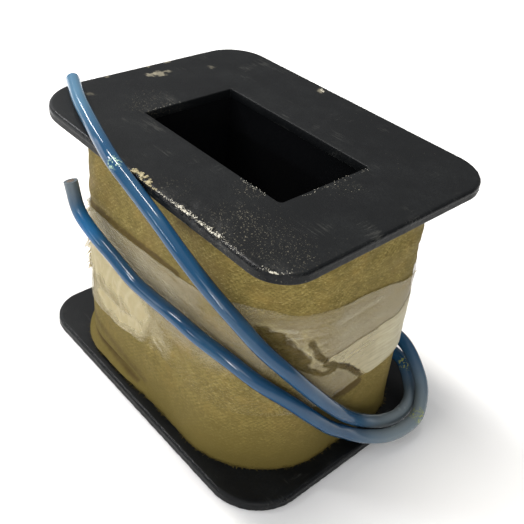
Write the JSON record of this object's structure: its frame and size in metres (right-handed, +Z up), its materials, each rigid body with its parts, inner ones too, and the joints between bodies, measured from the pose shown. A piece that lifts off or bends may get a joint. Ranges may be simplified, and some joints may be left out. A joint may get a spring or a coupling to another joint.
{
  "type": "ignition coil",
  "caption": "Bobbin-wound ignition coil: two black flanges on a rectangular tube, layered winding in cloth and clear tape, two blue leads, and a window for a laminated core.",
  "frame": {"origin": "centre of the lower flange's underside", "axes": "+Z up through the core window, +X along the flanges' long side, +Y towards the back, where the leads leave the winding"},
  "size_m": [0.085, 0.062, 0.0645],
  "materials": {
    "flange_board": "black varnished board, satin, chipped edges",
    "tube_board": "black board, matt",
    "cheek_board": "pressed board",
    "insulating_paper": "brown insulating paper",
    "enamelled_wire": "enamelled copper wire",
    "cloth_tape": "varnished woven cotton tape",
    "clear_tape": "clear yellowed tape",
    "sleeve": "woven glass sleeving",
    "solder": "soft solder",
    "stranded_core": "bare stranded copper",
    "lead_insulation": "blue flexible insulation, glossy"
  },
  "bodies": {
    "root": {"upper_flange": "flange_board", "lower_flange": "flange_board", "tube_wall_front": "tube_board", "tube_wall_back": "tube_board", "tube_wall_left": "tube_board", "tube_wall_right": "tube_board", "tube_paper": "insulating_paper", "upper_cheek": "cheek_board", "lower_cheek": "cheek_board", "winding_layer_1": "enamelled_wire", "winding_layer_2": "enamelled_wire", "winding_layer_3": "enamelled_wire", "winding_layer_4": "enamelled_wire", "winding_layer_5": "enamelled_wire", "winding_layer_6": "enamelled_wire", "winding_layer_7": "enamelled_wire", "layer_paper_1": "insulating_paper", "layer_paper_2": "insulating_paper", "layer_paper_3": "insulating_paper", "layer_paper_4": "insulating_paper", "layer_paper_5": "insulating_paper", "layer_paper_6": "insulating_paper", "barrier_paper": "insulating_paper", "cloth_wrap": "cloth_tape", "clear_tape_turn": "clear_tape", "clear_tape_lap": "clear_tape", "start_wire": "enamelled_wire", "finish_wire": "enamelled_wire", "start_splice": "solder", "finish_splice": "solder", "start_sleeve": "sleeve", "finish_sleeve": "sleeve", "start_core": "stranded_core", "finish_core": "stranded_core", "start_lead_tail": "lead_insulation", "finish_lead_tail": "lead_insulation", "splice_cover": "cloth_tape", "start_lead": "lead_insulation", "finish_lead": "lead_insulation"}
  },
  "joints": []
}
